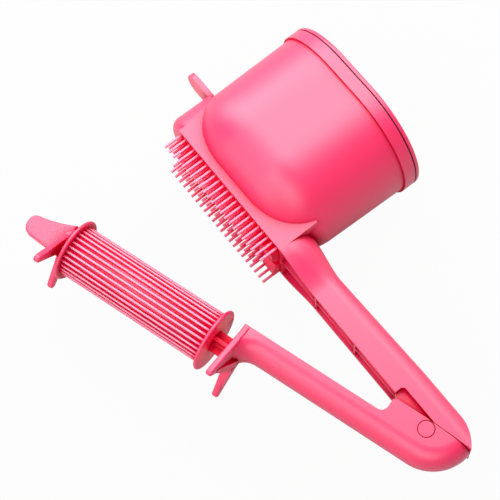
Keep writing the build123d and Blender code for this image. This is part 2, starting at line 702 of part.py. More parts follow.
INNER_YOKE_PLATE = yoke_plate(HUB_RADIUS, CROTCH_Y, ARM_HALF - SHOULDER_RADIUS,
                              ROLLER_ARM_TOP - SHOULDER_RADIUS)
END_YOKE_PLATE = yoke_plate(END_HUB_RADIUS, END_CROTCH_Y, END_HUB_RADIUS / 2, HUB_TOP - END_HUB_RADIUS / 2)


def leg_web(sign):
    """A tapering web down the pin side of one yoke leg, from the flare towards the foot."""
    web_start = roller_side.from_local_coords(Vector(-INNER_YOKE, CROTCH_Y, 0))
    foot = roller_side.from_local_coords(Vector(-INNER_YOKE, FOOT_Y, sign * FOOT_Z))
    along = (foot - web_start).normalized()
    with BuildPart() as web:
        with BuildSketch(Plane(origin=web_start, x_dir=roller_side.x_dir, z_dir=along)):
            Rectangle(2 * LEG_WEB, 2 * LEG_WEB_WIDTH)
        web_end = web_start + along * LEG_WEB_REACH
        with BuildSketch(Plane(origin=web_end, x_dir=roller_side.x_dir, z_dir=along)):
            Rectangle(FOOT_EDGE / 2, FOOT_RADIUS)
        loft()
    return web.part


LEG_WEBS = (leg_web(1), leg_web(-1))

with BuildPart() as roller_arm:
    with BuildSketch(roller_side):
        add(roller_arm_outline())
    extrude(amount=ARM_HALF, both=True)
    fillet(under_edges(roller_arm), ROLLER_ARM_ROUND)
    add(yoke_flare.part)
    add(roller_channel.part, mode=Mode.SUBTRACT)
    add(LEG_WEBS[0])
    add(LEG_WEBS[1])
    with Locations(roller_across(INNER_YOKE + YOKE_THICKNESS)):
        add(INNER_YOKE_PLATE)
    with BuildSketch(roller_across(INNER_YOKE + YOKE_THICKNESS)):
        with Locations((0, ROLLER_ARM_TOP)):
            Rectangle(2 * ARM_HALF, HUB_RADIUS, align=(Align.CENTER, Align.MAX))
    extrude(amount=YOKE_THICKNESS)
    with BuildSketch(roller_across(INNER_YOKE + YOKE_THICKNESS, ROLLER_DROP)):
        Circle(SPIGOT_RADIUS)
    extrude(amount=YOKE_THICKNESS, mode=Mode.SUBTRACT)
    # Pin bore through both cheeks, with a seat for the head and the cap
    with BuildSketch(roller_side):
        Circle(PIN_RADIUS)
    extrude(amount=ARM_HALF, both=True, mode=Mode.SUBTRACT)
    for plane in (roller_side.offset(ARM_HALF - PIN_HEAD_DEPTH), roller_side.offset(-ARM_HALF)):
        with BuildSketch(plane):
            Circle(PIN_HEAD_RADIUS + PIN_HEAD_GAP)
        extrude(amount=PIN_HEAD_DEPTH, mode=Mode.SUBTRACT)
roller_arm.part.label = "roller_arm"

with BuildPart() as hinge_pin:
    with BuildSketch(roller_side.offset(-ARM_HALF + PIN_HEAD_DEPTH / 2)):
        Circle(PIN_RADIUS)
    extrude(amount=2 * ARM_HALF - 1.5 * PIN_HEAD_DEPTH)
    with BuildSketch(roller_side.offset(ARM_HALF - PIN_HEAD_DEPTH)):
        Circle(PIN_HEAD_RADIUS)
    extrude(amount=PIN_HEAD_DEPTH)
    chamfer(hinge_pin.edges().group_by(Axis.Z)[-1], PIN_EDGE)
hinge_pin.part.label = "hinge_pin"

with BuildPart() as pin_cap:
    with BuildSketch(roller_side.offset(-ARM_HALF)):
        Circle(PIN_HEAD_RADIUS)
    extrude(amount=PIN_HEAD_DEPTH)
    with BuildSketch(roller_side.offset(-ARM_HALF + PIN_HEAD_DEPTH / 2)):
        Circle(PIN_RADIUS)
    extrude(amount=PIN_HEAD_DEPTH, mode=Mode.SUBTRACT)
pin_cap.part.label = "pin_cap"

# Hinge spring: its coils drawn as one sleeve in their pocket
with BuildPart() as hinge_spring:
    with BuildSketch(side.offset(-SPRING_LENGTH / 2)):
        Circle(SPRING_COIL_RADIUS)
        Circle(SPRING_COIL_RADIUS - SPRING_WIRE, mode=Mode.SUBTRACT)
    extrude(amount=SPRING_LENGTH)
hinge_spring.part.label = "hinge_spring"

# Axle: plus section with a round spigot at each end. The end yoke follows the roller's length
OUTER_YOKE = ROLLER_START + ROLLER_LENGTH + END_YOKE_GAP

with BuildPart() as roller_axle:
    with BuildSketch(roller_across(OUTER_YOKE, ROLLER_DROP)):
        Rectangle(2 * AXLE_RADIUS, AXLE_FIN)
        Rectangle(AXLE_FIN, 2 * AXLE_RADIUS)
        Circle(AXLE_RADIUS, mode=Mode.INTERSECT)
    extrude(amount=OUTER_YOKE - INNER_YOKE - YOKE_THICKNESS)
    with BuildSketch(roller_across(OUTER_YOKE + YOKE_THICKNESS, ROLLER_DROP)):
        Circle(SPIGOT_RADIUS)
    extrude(amount=OUTER_YOKE - INNER_YOKE + YOKE_THICKNESS)
roller_axle.part.label = "roller_axle"

PADDLE_ROOT = OUTER_YOKE + YOKE_THICKNESS / 2
PADDLE_TIP = OUTER_YOKE + YOKE_THICKNESS + PADDLE_LENGTH

with BuildPart() as end_yoke:
    with BuildSketch(roller_side) as paddle_face:
        with BuildLine():
            Polyline((-PADDLE_ROOT, PADDLE_ROOT_TOP), (-PADDLE_ROOT, PADDLE_ROOT_BOTTOM),
                     (-PADDLE_TIP, PADDLE_TIP_BOTTOM), (-PADDLE_TIP, PADDLE_TIP_TOP))
            SagittaArc((-PADDLE_TIP, PADDLE_TIP_TOP), (-PADDLE_ROOT, PADDLE_ROOT_TOP), -PADDLE_SAG)
        make_face()
        fillet(paddle_face.vertices().sort_by(Axis.X)[:2].sort_by(Axis.Y)[0], PADDLE_BOTTOM_ROUND)
        fillet(paddle_face.vertices().sort_by(Axis.X)[:2].sort_by(Axis.Y)[-1], PADDLE_TOP_ROUND)
    extrude(amount=PADDLE_THICKNESS / 2, both=True)
    paddle_faces = end_yoke.faces().sort_by(Axis.Z)
    fillet(paddle_faces[0].edges() + paddle_faces[-1].edges(), PADDLE_EDGE)
    with Locations(roller_across(OUTER_YOKE + YOKE_THICKNESS)):
        add(END_YOKE_PLATE)
    with BuildSketch(roller_across(OUTER_YOKE + YOKE_THICKNESS, ROLLER_DROP)):
        Circle(SPIGOT_RADIUS)
    extrude(amount=YOKE_THICKNESS, mode=Mode.SUBTRACT)
end_yoke.part.label = "end_yoke"

# Roller
DRUM_START = ROLLER_START + FLANGE_THICKNESS
DRUM_END = ROLLER_START + ROLLER_LENGTH - FLANGE_THICKNESS
VALLEY_RADIUS = DRUM_RADIUS - RIB_DEPTH

with BuildPart() as roller_drum:
    with BuildSketch(roller_across(DRUM_END, ROLLER_DROP)):
        Circle(VALLEY_RADIUS)
        with PolarLocations(DRUM_RADIUS - RIB_WIDTH / 2, DRUM_RIBS):
            Circle(RIB_WIDTH / 2)
        with PolarLocations(DRUM_RADIUS - RIB_DEPTH, DRUM_RIBS):
            Rectangle(2 * RIB_DEPTH - RIB_WIDTH, RIB_WIDTH)
        Circle(VALLEY_RADIUS - DRUM_WALL, mode=Mode.SUBTRACT)
    extrude(amount=DRUM_END - DRUM_START)
roller_drum.part.label = "roller_drum"


def flange(outer_face, inward):
    """An end flange: disc with a bore for the axle and a spigot in the drum."""
    with BuildPart() as disc:
        with BuildSketch(roller_across(outer_face, ROLLER_DROP)):
            Circle(FLANGE_RADIUS)
        extrude(amount=inward * FLANGE_THICKNESS)
        chamfer(disc.edges(), FLANGE_EDGE)
        with BuildSketch(roller_across(outer_face, ROLLER_DROP)):
            Circle(VALLEY_RADIUS - DRUM_WALL - SPIGOT_FIT)
        extrude(amount=inward * (FLANGE_THICKNESS + FLANGE_SPIGOT))
        with BuildSketch(roller_across(outer_face, ROLLER_DROP)):
            Circle(AXLE_RADIUS + AXLE_FIT)
        extrude(amount=inward * (FLANGE_THICKNESS + FLANGE_SPIGOT), mode=Mode.SUBTRACT)
    return disc.part


with BuildPart() as inner_flange:
    add(flange(ROLLER_START, -1))
    # Slit that catches the hair ends
    with BuildSketch(roller_across(ROLLER_START, ROLLER_DROP)):
        with PolarLocations(FLANGE_RADIUS, 1, start_angle=SLIT_ANGLE):
            Rectangle(2 * SLIT_DEPTH, SLIT_WIDTH)
    extrude(amount=-FLANGE_THICKNESS, mode=Mode.SUBTRACT)
inner_flange.part.label = "inner_flange"

with BuildPart() as outer_flange:
    add(flange(ROLLER_START + ROLLER_LENGTH, 1))
outer_flange.part.label = "outer_flange"

PIECES = [tank_arm, tank_bowl, dosing_floor, gate_cover, slide_gate, gate_seal, lid_seal, lid,
          bristle_plate, saddle_pads, outer_bristles, inner_bristles, plate_screw,
          roller_arm, hinge_pin, pin_cap, hinge_spring, roller_axle, end_yoke,
          roller_drum, inner_flange, outer_flange]

os.makedirs("parts", exist_ok=True)
for piece in PIECES:
    export_step(piece.part, f"parts/{piece.part.label}.step")
    print(piece.part.label, len(piece.part.solids()), round(piece.part.volume))
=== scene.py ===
import json
from math import atan2, pi, radians, sin

import bpy
from mathutils import Matrix, Vector


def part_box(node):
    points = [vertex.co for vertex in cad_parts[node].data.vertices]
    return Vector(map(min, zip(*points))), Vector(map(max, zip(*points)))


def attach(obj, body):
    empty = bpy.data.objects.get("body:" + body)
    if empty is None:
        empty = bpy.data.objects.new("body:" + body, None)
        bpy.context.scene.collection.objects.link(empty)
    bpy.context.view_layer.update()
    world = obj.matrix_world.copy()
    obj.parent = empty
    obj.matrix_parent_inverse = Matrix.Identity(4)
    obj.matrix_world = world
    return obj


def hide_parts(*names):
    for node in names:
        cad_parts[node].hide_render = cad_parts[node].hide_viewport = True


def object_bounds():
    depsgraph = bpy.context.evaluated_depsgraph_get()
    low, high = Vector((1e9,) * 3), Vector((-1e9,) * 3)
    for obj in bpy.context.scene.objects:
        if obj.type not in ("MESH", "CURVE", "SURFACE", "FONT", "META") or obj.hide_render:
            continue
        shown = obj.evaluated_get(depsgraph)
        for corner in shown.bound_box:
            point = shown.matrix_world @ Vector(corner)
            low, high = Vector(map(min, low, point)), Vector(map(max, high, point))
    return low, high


# Hair colouring roller brush: a lidded dye bowl on a bristled head, and a hinged arm whose ribbed
# roller presses the hair into the bristles. Metres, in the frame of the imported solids: X runs
# from the nose to the hinge, Y out through the lid, and the brush lies on its side with Z up.

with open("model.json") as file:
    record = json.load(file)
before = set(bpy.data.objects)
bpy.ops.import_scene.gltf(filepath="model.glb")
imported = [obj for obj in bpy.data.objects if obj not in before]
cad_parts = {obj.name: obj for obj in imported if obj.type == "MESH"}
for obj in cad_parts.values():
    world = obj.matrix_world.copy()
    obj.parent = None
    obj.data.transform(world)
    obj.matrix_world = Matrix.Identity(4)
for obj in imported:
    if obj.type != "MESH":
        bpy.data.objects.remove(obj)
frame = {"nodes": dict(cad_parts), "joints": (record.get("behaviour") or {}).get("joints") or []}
nodes = frame["nodes"]
cad_box = [list(corner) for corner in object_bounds()]


# Camera: a long lens from high over the hinge side, at the photograph's angle. Its spot and turn
# are those at which the lid, the pin, the roller and both arms lie where the photograph has them.
CAMERA_SPOT = Vector((0.28615, -0.24413, 0.78125))
CAMERA_LOOK = Vector((-0.30606, 0.17297, -0.93617))
CAMERA_UP = Vector((-0.73059, 0.58780, 0.34745))
LENS = 110.8
SENSOR = 36.0
CLIP_START = 0.01
CLIP_END = 20.0

camera_data = bpy.data.cameras.new("camera")
camera = bpy.data.objects.new("camera", camera_data)
bpy.context.collection.objects.link(camera)
bpy.context.scene.camera = camera
camera_data.sensor_width = SENSOR
camera_data.lens = LENS
camera_data.clip_start = CLIP_START
camera_data.clip_end = CLIP_END
back = -CAMERA_LOOK.normalized()
right = CAMERA_UP.cross(back).normalized()
turn = Matrix((right, back.cross(right), back)).transposed().to_4x4()
camera.matrix_world = Matrix.Translation(CAMERA_SPOT) @ turn
bpy.context.scene.view_settings.view_transform = "Standard"


# Floor and light. The floor is grey card that the camera sees as white, with a trace of the
# brush's shadow. The lamps are soft boxes, large ones, because polished plastic shows them as
# broad pale sheens.
FLOOR_GAP = 0.0002
FLOOR_HALF = 2.5
CARD = "#A8A8A8"
WHITE = "#FFFFFF"
WHITE_SHARE = 0.96
MIRRORED_SHARE = 0.1
WALL_LIGHT = 0.5
WALL_TOP = radians(6)
CEILING_LIGHT = 0.14
CEILING_START = radians(16)


def linear(code):
    """An sRGB hex colour as linear RGBA."""
    parts = [int(code[i:i + 2], 16) / 255 for i in (1, 3, 5)]
    return tuple(p / 12.92 if p <= 0.04045 else ((p + 0.055) / 1.055) ** 2.4
                 for p in parts) + (1.0,)


def node(tree, kind, settings=None, links=None):
    """A node with its settings, and its inputs given as values or as sockets to link."""
    made = tree.nodes.new(kind)
    for name, value in (settings or {}).items():
        setattr(made, name, value)
    for name, value in (links or {}).items():
        if isinstance(value, bpy.types.NodeSocket):
            tree.links.new(value, made.inputs[name])
        else:
            made.inputs[name].default_value = value
    return made


def seen_white(tree, rays):
    """The share of white that the camera sees, also through clear things, from the kinds of ray."""
    looked_at = node(tree, "ShaderNodeMath", {"operation": "MAXIMUM"},
                     {0: rays["Is Camera Ray"], 1: rays["Is Transmission Ray"]})
    return node(tree, "ShaderNodeMath", {"operation": "MULTIPLY"},
                {0: looked_at.outputs[0], 1: WHITE_SHARE}).outputs[0]


floor_z = cad_box[0][2] - FLOOR_GAP
corners = [(x * FLOOR_HALF, y * FLOOR_HALF, floor_z)
           for x, y in ((-1, -1), (1, -1), (1, 1), (-1, 1))]
floor_mesh = bpy.data.meshes.new("floor")
floor_mesh.from_pydata(corners, [], [(0, 1, 2, 3)])
floor = bpy.data.objects.new("floor", floor_mesh)
bpy.context.collection.objects.link(floor)
card = bpy.data.materials.new("grey_card")
card.use_nodes = True
tree = card.node_tree
tree.nodes.clear()
# Polished plastic mirrors a tenth of the white too, so that its lower sides keep some shine
rays = node(tree, "ShaderNodeLightPath").outputs
mirrored = node(tree, "ShaderNodeMath", {"operation": "MULTIPLY"},
                {0: rays["Is Glossy Ray"], 1: MIRRORED_SHARE})
white = node(tree, "ShaderNodeMath", {"operation": "MAXIMUM"},
             {0: seen_white(tree, rays), 1: mirrored.outputs[0]})
matt = node(tree, "ShaderNodeBsdfDiffuse", links={"Color": linear(CARD)})
glow = node(tree, "ShaderNodeEmission", links={"Color": linear(WHITE), "Strength": 1.0})
both = node(tree, "ShaderNodeMixShader",
            links={0: white.outputs[0], 1: matt.outputs[0], 2: glow.outputs[0]})
node(tree, "ShaderNodeOutputMaterial", links={"Surface": both.outputs[0]})
floor_mesh.materials.append(card)

# The room, white to the camera: pale walls to a little above the brush, and a dimmer ceiling
world = bpy.data.worlds.new("studio")
bpy.context.scene.world = world
world.use_nodes = True
tree = world.node_tree
away = node(tree, "ShaderNodeTexCoord").outputs["Generated"]
height = node(tree, "ShaderNodeSeparateXYZ", links={0: away}).outputs["Z"]
room = node(tree, "ShaderNodeMapRange",
            links={"Value": height, "From Min": sin(WALL_TOP), "From Max": sin(CEILING_START),
                   "To Min": WALL_LIGHT, "To Max": CEILING_LIGHT})
rays = node(tree, "ShaderNodeLightPath").outputs
light = node(tree, "ShaderNodeMath", {"operation": "MAXIMUM"},
             {0: seen_white(tree, rays), 1: room.outputs["Result"]})
tree.links.new(light.outputs[0], tree.nodes["Background"].inputs["Strength"])
tree.nodes["Background"].inputs["Color"].default_value = linear(WHITE)


def soft_box(name, spot, aim, width, height, brightness):
    """A soft box that faces a point, as bright as given against white paper in plain light."""
    data = bpy.data.lights.new(name, "AREA")
    data.shape = "RECTANGLE"
    data.size = width
    data.size_y = height
    data.energy = brightness * pi * width * height
    made = bpy.data.objects.new(name, data)
    turned = (Vector(aim) - Vector(spot)).to_track_quat("-Z", "Y").to_matrix().to_4x4()
    made.matrix_world = Matrix.Translation(spot) @ turned
    bpy.context.collection.objects.link(made)


soft_box("box_over_head", (-0.38, 0.26, 0.62), (-0.28, 0.16, 0.0), 1.0, 0.90, 3.6)
soft_box("box_nose_side", (-0.85, -0.12, 0.42), (-0.03, -0.06, 0.0), 0.6, 0.6, 3.0)
soft_box("box_roller_side", (-0.10, -0.95, 0.30), (0.0, -0.06, 0.0), 0.8, 0.5, 1.6)
soft_box("box_over_roller", (-0.05, -0.62, 0.74), (0.0, -0.06, 0.0), 0.5, 0.5, 2.6)
soft_box("box_hinge_side", (0.55, -0.60, 0.66), (0.03, -0.05, 0.0), 0.6, 0.6, 2.6)
soft_box("box_behind_lid", (-0.10, 0.95, 0.40), (0.03, -0.03, 0.0), 0.5, 0.5, 1.8)


# Tank arm: handle, neck, brush head and nose in one moulding, open along its bristle side. It is
# injection moulded ABS, solid pink and polished in the tool, so pale sheens lie over a deep
# colour.
BODY_PINK = "#FF1E62"
# The second colour is painted shade, laid into grooves and gaps
BODY_PAINTED_SHADE = "#C8002C"
BODY_ROUGHNESS = 0.46
BODY_EDGE = 0.0006
SHARP_EDGE = 0.00025
PAINTED_SHADE_REACH = 0.008
SHUT_IN = 0.5
WIDE_OPEN = 0.95
OPEN_GLOSS = 0.5
FLOW_MARK = 0.030
FLOW_SHADES = (0.95, 1.03)
GRAIN = 0.0007
GRAIN_GLOSS = (0.85, 1.15)
RIPPLE = 0.009
RIPPLE_HEIGHT = 0.0001
RIPPLE_STRENGTH = 0.3
ABS_IOR = 1.54
COAT_IOR = 1.65
COAT_SMOOTHNESS = 0.9
LIGHT_DEPTH = 0.003
LIGHT_SPREAD = (1.0, 0.35, 0.4)


def moulded_plastic(name, code, painted_shade, roughness, coat=0.0, edge=SHARP_EDGE, milkiness=0.0):
    """A moulded plastic: its colour, its painted shade colour, its gloss and its edges' radius."""
    material = bpy.data.materials.new(name)
    material.use_nodes = True
    tree = material.node_tree
    shader = tree.nodes["Principled BSDF"]
    place = node(tree, "ShaderNodeTexCoord").outputs["Object"]
    # Painted shade: the colour deepens and the gloss and coat fall where the occlusion finds walls
    around = node(tree, "ShaderNodeAmbientOcclusion", {"samples": 6}, {"Distance": PAINTED_SHADE_REACH})
    unshaded_share = node(tree, "ShaderNodeMapRange",
                    links={"Value": around.outputs["AO"], "From Min": SHUT_IN,
                           "From Max": WIDE_OPEN}).outputs["Result"]
    body = node(tree, "ShaderNodeMix", {"data_type": "RGBA"},
                {0: unshaded_share, 6: linear(painted_shade), 7: linear(code)})
    for level, socket in ((OPEN_GLOSS, "Specular IOR Level"), (coat, "Coat Weight")):
        if level:
            sheen = node(tree, "ShaderNodeMath", {"operation": "MULTIPLY"},
                         {0: unshaded_share, 1: level})
            tree.links.new(sheen.outputs[0], shader.inputs[socket])
    # Flow marks 30 mm across, where the melt cooled as it spread
    flow = node(tree, "ShaderNodeTexNoise",
                links={"Vector": place, "Scale": 1 / FLOW_MARK, "Detail": 2.0})
    shade = node(tree, "ShaderNodeMapRange",
                 links={"Value": flow.outputs["Fac"], "To Min": FLOW_SHADES[0],
                        "To Max": FLOW_SHADES[1]})
    colour = node(tree, "ShaderNodeHueSaturation",
                  links={"Color": body.outputs[2], "Value": shade.outputs["Result"]})
    tree.links.new(colour.outputs["Color"], shader.inputs["Base Color"])
    # Polishing grain is finer than 0.1 mm and is drawn 0.7 mm across, so that it shows
    grain = node(tree, "ShaderNodeTexNoise",
                 links={"Vector": place, "Scale": 1 / GRAIN, "Detail": 3.0})
    gloss = node(tree, "ShaderNodeMapRange",
                 links={"Value": grain.outputs["Fac"], "To Min": roughness * GRAIN_GLOSS[0],
                        "To Max": roughness * GRAIN_GLOSS[1]})
    tree.links.new(gloss.outputs["Result"], shader.inputs["Roughness"])
    # Soft edges, and sink and ripple 9 mm across and a tenth of a millimetre high
    soft = node(tree, "ShaderNodeBevel", {"samples": 4}, {"Radius": edge})
    wave = node(tree, "ShaderNodeTexNoise",
                links={"Vector": place, "Scale": 1 / RIPPLE, "Detail": 1.0})
    bump = node(tree, "ShaderNodeBump",
                links={"Height": wave.outputs["Fac"], "Strength": RIPPLE_STRENGTH,
                       "Distance": RIPPLE_HEIGHT, "Normal": soft.outputs["Normal"]})
    tree.links.new(bump.outputs["Normal"], shader.inputs["Normal"])
    shader.inputs["IOR"].default_value = ABS_IOR
    shader.inputs["Coat Roughness"].default_value = roughness * COAT_SMOOTHNESS
    shader.inputs["Coat IOR"].default_value = COAT_IOR
    shader.inputs["Subsurface Weight"].default_value = milkiness
    shader.inputs["Subsurface Radius"].default_value = LIGHT_SPREAD
    shader.inputs["Subsurface Scale"].default_value = LIGHT_DEPTH
    return material


def dress(material, *names):
    """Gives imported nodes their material."""
    for name in names:
        mesh = nodes[name].data
        mesh.materials.clear()
        mesh.materials.append(material)


body_abs = moulded_plastic("polished_pink_abs", BODY_PINK, BODY_PAINTED_SHADE, BODY_ROUGHNESS,
                           coat=1.0, edge=BODY_EDGE)
dress(body_abs, "tank_arm")


# Dye bowl and its lift-off lid: deep ABS mouldings in the same pink, polished, so that their
# broad faces hold wide pale sheens. The lid is a plug fit in the rim, and the moulded silicone
# ring between them, soft and matt, shows as a thin dark line.
BOWL_EDGE = 0.0005
SEAL_RED = "#4A1022"
# The second colour is painted shade in the seal's grooves and gaps
SEAL_PAINTED_SHADE = "#1C060C"
SEAL_ROUGHNESS = 0.62
SEAL_EDGE = 0.0001

bowl_abs = moulded_plastic("polished_pink_abs_bowl", BODY_PINK, BODY_PAINTED_SHADE, BODY_ROUGHNESS,
                           coat=1.0, edge=BOWL_EDGE)
dress(bowl_abs, "tank_bowl", "lid")
silicone = moulded_plastic("moulded_silicone_rubber", SEAL_RED, SEAL_PAINTED_SHADE, SEAL_ROUGHNESS,
                           edge=SEAL_EDGE)
dress(silicone, "lid_seal", "gate_seal")


# Dosing gate: a slotted floor, a sliding shutter and its slotted cover, inside the bowl. The
# plates are ABS with the tool's sparked surface, which looks satin. The shutter, whose tab a
# finger pulls, is polished.
PLATE_PINK = "#F0507E"
PLATE_ROUGHNESS = 0.55

satin_abs = moulded_plastic("spark_eroded_pink_abs", PLATE_PINK, BODY_PAINTED_SHADE, PLATE_ROUGHNESS)
dress(satin_abs, "dosing_floor", "gate_cover")
dress(body_abs, "slide_gate")


# Bristle plate, its two saddle pads and its screw. The plate and pads are the body's polished
# ABS, painted a deeper pink as shade, with little sheen, as they sit half in shadow. The screw is
# zinc plated steel with a pan head, driven from the bristle side.
SHADED_PINK = "#FF2258"
DEEP_PAINTED_SHADE = "#E0002E"
DEEP_ROUGHNESS = 0.4
ZINC = "#B9B4B0"
ZINC_CRYSTAL = 0.0004
ZINC_SHADES = (0.85, 1.1)
ZINC_ROUGHNESS = (0.22, 0.4)

# A shaded copy of the body's ABS: its deeper pink is painted shade
shaded_pink_abs = moulded_plastic("polished_pink_abs_shaded", SHADED_PINK, DEEP_PAINTED_SHADE, DEEP_ROUGHNESS,
                           coat=0.2)
dress(shaded_pink_abs, "bristle_plate", "saddle_pads")

# The plating's crystals make a bright grey of uneven gloss. They are drawn 0.4 mm across, coarser
# than they are, so that they show.
zinc = bpy.data.materials.new("zinc_plated_steel")
zinc.use_nodes = True
tree = zinc.node_tree
shader = tree.nodes["Principled BSDF"]
shader.inputs["Metallic"].default_value = 1.0
place = node(tree, "ShaderNodeTexCoord").outputs["Object"]
speck = node(tree, "ShaderNodeTexNoise",
             links={"Vector": place, "Scale": 1 / ZINC_CRYSTAL, "Detail": 3.0})
shade = node(tree, "ShaderNodeMapRange",
             links={"Value": speck.outputs["Fac"], "To Min": ZINC_SHADES[0],
                    "To Max": ZINC_SHADES[1]})
plating = node(tree, "ShaderNodeHueSaturation",
               links={"Color": linear(ZINC), "Value": shade.outputs["Result"]})
tree.links.new(plating.outputs["Color"], shader.inputs["Base Color"])
worn = node(tree, "ShaderNodeMapRange",
            links={"Value": speck.outputs["Fac"], "To Min": ZINC_ROUGHNESS[0],
                   "To Max": ZINC_ROUGHNESS[1]})
tree.links.new(worn.outputs["Result"], shader.inputs["Roughness"])
dress(zinc, "plate_screw")


# Bristles: tapered square rods with rounded corners, injection moulded in nylon as strips, whose
# backing is let into the plate. Two long outer rows, and six inner rows cut to the roller's curve.
COLUMN_PITCH = 0.00384
OUTER_COLUMNS = 23
OUTER_ROWS = 2
OUTER_PITCH = 0.0344
OUTER_LENGTH = 0.012
INNER_COLUMNS = 20
INNER_ROWS = 6
INNER_PITCH = 0.00495
ROOT_WIDTH = 0.0014
TIP_WIDTH = 0.0009
ROD_CORNER = 0.00035
CORNER_STEPS = 2
STRIP_DEPTH = 0.0008
STRIP_WIDTH = 0.0017
ROLLER_RADIUS = 0.015
ROLLER_DROP = 0.0192
ROLLER_CLEARANCE = 0.0009
PLATE_RECESS = 0.0006
BRISTLE_PINK = "#FF80A6"
# Painted shade for the roots, where the rods crowd together
BRISTLE_PAINTED_SHADE = "#FF1650"
BRISTLE_ROUGHNESS = 0.36
BRISTLE_EDGE = 0.0001


def new_tree(name, **inputs):
    """A geometry tree with named inputs, and its input and output sockets."""
    tree = bpy.data.node_groups.new(name, "GeometryNodeTree")
    for label, kind in inputs.items():
        tree.interface.new_socket(label, in_out="INPUT", socket_type="NodeSocket" + kind)
    tree.interface.new_socket("Geometry", in_out="OUTPUT", socket_type="NodeSocketGeometry")
    given = node(tree, "NodeGroupInput").outputs
    return tree, given, node(tree, "NodeGroupOutput").inputs["Geometry"]


def finish_tree(tree, geometry, material, end):
    """Ends a tree with real geometry in its material."""
    real = node(tree, "GeometryNodeRealizeInstances", links={"Geometry": geometry})
    dressed = node(tree, "GeometryNodeSetMaterial",
                   links={"Geometry": real.outputs[0], "Material": material})
    tree.links.new(dressed.outputs[0], end)


def made_by(tree, name, **values):
    """Runs a geometry tree once with its named inputs and keeps the result as a plain mesh."""
    piece = bpy.data.objects.new(name, bpy.data.meshes.new(name))
    bpy.context.collection.objects.link(piece)
    modifier = piece.modifiers.new("tree", "NODES")
    modifier.node_group = tree
    for item in tree.interface.items_tree:
        if item.in_out == "INPUT":
            value = values[item.name]
            modifier[item.identifier] = tuple(value) if isinstance(value, Vector) else value
    ready = piece.evaluated_get(bpy.context.evaluated_depsgraph_get())
    mesh = bpy.data.meshes.new_from_object(ready)
    piece.modifiers.clear()
    piece.data = mesh
    return piece


def rod_along(tree, start, end, width, height, corner, taper=1.0):
    """A straight bar with rounded corners between two points, narrowed to a share at its end."""
    line = node(tree, "GeometryNodeCurvePrimitiveLine", links={"Start": start, "End": end})
    along = node(tree, "GeometryNodeSplineParameter").outputs["Factor"]
    width_there = node(tree, "ShaderNodeMapRange",
                       links={"Value": along, "To Min": 1.0, "To Max": taper})
    spine = node(tree, "GeometryNodeSetCurveRadius",
                 links={"Curve": line.outputs[0], "Radius": width_there.outputs["Result"]})
    outline = node(tree, "GeometryNodeCurvePrimitiveQuadrilateral",
                   links={"Width": width, "Height": height})
    rounded = node(tree, "GeometryNodeFilletCurve", {"mode": "POLY"},
                   {"Curve": outline.outputs[0], "Count": CORNER_STEPS, "Radius": corner})
    return node(tree, "GeometryNodeCurveToMesh",
                links={"Curve": spine.outputs[0], "Profile Curve": rounded.outputs[0],
                       "Fill Caps": True}).outputs[0]


